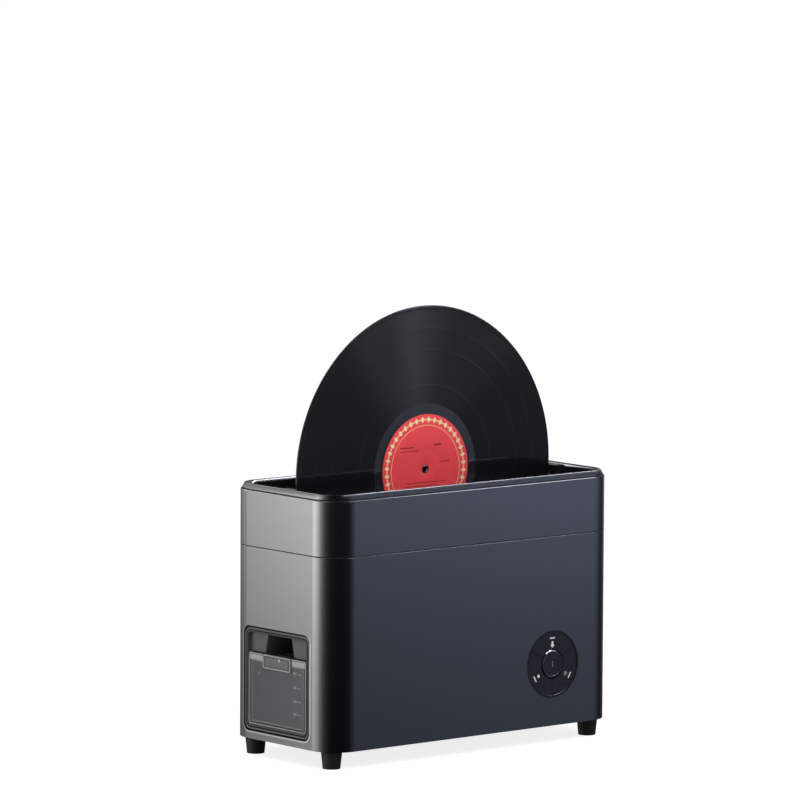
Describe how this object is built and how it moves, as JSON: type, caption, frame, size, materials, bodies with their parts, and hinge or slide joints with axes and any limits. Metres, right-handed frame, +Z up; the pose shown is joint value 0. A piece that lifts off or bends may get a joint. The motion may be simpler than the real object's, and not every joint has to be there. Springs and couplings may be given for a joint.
{
  "type": "record cleaning machine",
  "caption": "Ultrasonic record cleaning machine: dark metal box with a lift-off top cover, a record standing in its wash slot, round button panel and slide-out water tank.",
  "frame": {"origin": "centre of the bounding box on the surface the feet stand on", "axes": "+X to the right of the control panel, +Y to the back, +Z up; the water tank slides out along -X"},
  "size_m": [0.3396, 0.1484, 0.405],
  "materials": {
    "body_metal": "bead-blasted and anodised dark grey",
    "trim_metal": "anodised grey, brighter chamfers",
    "black_gloss": "gloss black",
    "black_plastic": "matt black",
    "bay_plastic": "dark grey",
    "smoky_plastic": "smoky translucent",
    "basin_steel": "brushed",
    "steel": "plain",
    "horn_metal": "turned",
    "ceramic": "fired ceramic",
    "rubber": "matt black",
    "bush_bronze": "sintered bronze",
    "foam": "open-cell foam",
    "vinyl": "pressed vinyl",
    "label_paper": "red printed paper",
    "board": "green circuit board",
    "board_parts": "dark cases and black heat sink",
    "window": "milky light window"
  },
  "bodies": {
    "chassis": {"air_ducts": "black_plastic", "back_masses": "steel", "base_plate": "black_plastic", "base_screws": "steel", "basin_gasket": "rubber", "bay_bezel": "trim_metal", "bay_liner": "bay_plastic", "blower_housing_left": "black_plastic", "blower_housing_right": "black_plastic", "board_components": "board_parts", "centre_ring": "trim_metal", "chassis_deck": "black_plastic", "chassis_posts": "steel", "control_board": "board", "control_switches": "black_plastic", "dc_socket": "black_plastic", "deck_screws": "steel", "drain_solenoid": "steel", "drain_valve_body": "black_plastic", "drive_motor": "steel", "feet": "rubber", "filter_frame": "black_plastic", "filter_pad": "foam", "gearbox": "steel", "main_board": "board", "main_shell": "body_metal", "motor_bracket": "steel", "panel_dish": "black_gloss", "piezo_rings": "ceramic", "roller_bushes": "bush_bronze", "transducer_horns": "horn_metal", "transducer_studs": "steel", "wash_basin": "basin_steel"},
    "top_cover": {"top_cover_shell": "body_metal", "top_rim": "trim_metal", "top_tray": "black_gloss", "record_guides": "black_gloss"},
    "record": {"record": "vinyl", "record_labels": "label_paper"},
    "drive_roller": {"drive_roller": "rubber", "drive_shaft": "steel", "drive_shaft_clip": "steel", "shaft_coupler": "steel"},
    "idler_roller": {"idler_roller": "rubber", "idler_shaft": "steel", "idler_shaft_clips": "steel"},
    "water_tank": {"water_tank": "smoky_plastic", "tank_lid": "smoky_plastic", "tank_filter": "foam"},
    "rear_filter_cover": {"rear_filter_cover": "black_plastic"},
    "mode_button": {"mode_button": "black_gloss", "mode_window": "window"},
    "wash_button": {"wash_button": "black_gloss", "wash_window": "window"},
    "dry_button": {"dry_button": "black_gloss", "dry_window": "window"},
    "power_button": {"power_button": "black_gloss"},
    "impeller_left": {"impeller_left": "black_plastic"},
    "impeller_right": {"impeller_right": "black_plastic"},
    "drain_plunger": {"drain_plunger": "black_plastic"}
  },
  "joints": [
    {"name": "top_cover_lift", "type": "slide", "parent": "chassis", "child": "top_cover", "axis": [0, 0, 1], "range_m": [0, 0.23]},
    {"name": "record_spin", "type": "hinge", "parent": "chassis", "child": "record", "pos_m": [0, 0, 0.2542], "axis": [0, 1, 0], "continuous": true},
    {"name": "drive_roller_spin", "type": "hinge", "parent": "chassis", "child": "drive_roller", "pos_m": [0.10579, 0, 0.13671], "axis": [0, 1, 0], "continuous": true},
    {"name": "idler_roller_spin", "type": "hinge", "parent": "chassis", "child": "idler_roller", "pos_m": [-0.10579, 0, 0.13671], "axis": [0, 1, 0], "continuous": true},
    {"name": "water_tank_slide", "type": "slide", "parent": "chassis", "child": "water_tank", "axis": [-1, 0, 0], "range_m": [0, 0.105]},
    {"name": "rear_filter_cover_slide", "type": "slide", "parent": "chassis", "child": "rear_filter_cover", "axis": [0, 1, 0], "range_m": [0, 0.02]},
    {"name": "mode_button_press", "type": "slide", "parent": "chassis", "child": "mode_button", "axis": [0, 1, 0], "range_m": [0, 0.0008], "stiffness_N_per_m": 400, "springref_m": -0.0005},
    {"name": "wash_button_press", "type": "slide", "parent": "chassis", "child": "wash_button", "axis": [0, 1, 0], "range_m": [0, 0.0008], "stiffness_N_per_m": 400, "springref_m": -0.0005},
    {"name": "dry_button_press", "type": "slide", "parent": "chassis", "child": "dry_button", "axis": [0, 1, 0], "range_m": [0, 0.0008], "stiffness_N_per_m": 400, "springref_m": -0.0005},
    {"name": "power_button_press", "type": "slide", "parent": "chassis", "child": "power_button", "axis": [0, 1, 0], "range_m": [0, 0.0008], "stiffness_N_per_m": 400, "springref_m": -0.0005},
    {"name": "left_blower_spin", "type": "hinge", "parent": "chassis", "child": "impeller_left", "pos_m": [-0.072, 0, 0.134], "axis": [0, 1, 0], "continuous": true},
    {"name": "right_blower_spin", "type": "hinge", "parent": "chassis", "child": "impeller_right", "pos_m": [0.072, 0, 0.134], "axis": [0, 1, 0], "continuous": true},
    {"name": "drain_valve_open", "type": "slide", "parent": "chassis", "child": "drain_plunger", "axis": [0, 0, -1], "range_m": [0, 0.003], "stiffness_N_per_m": 400, "springref_m": -0.002}
  ],
  "couplings": [
    {"joint": "drive_roller_spin", "follows": "record_spin", "ratio": -21.543},
    {"joint": "idler_roller_spin", "follows": "record_spin", "ratio": -21.543}
  ]
}
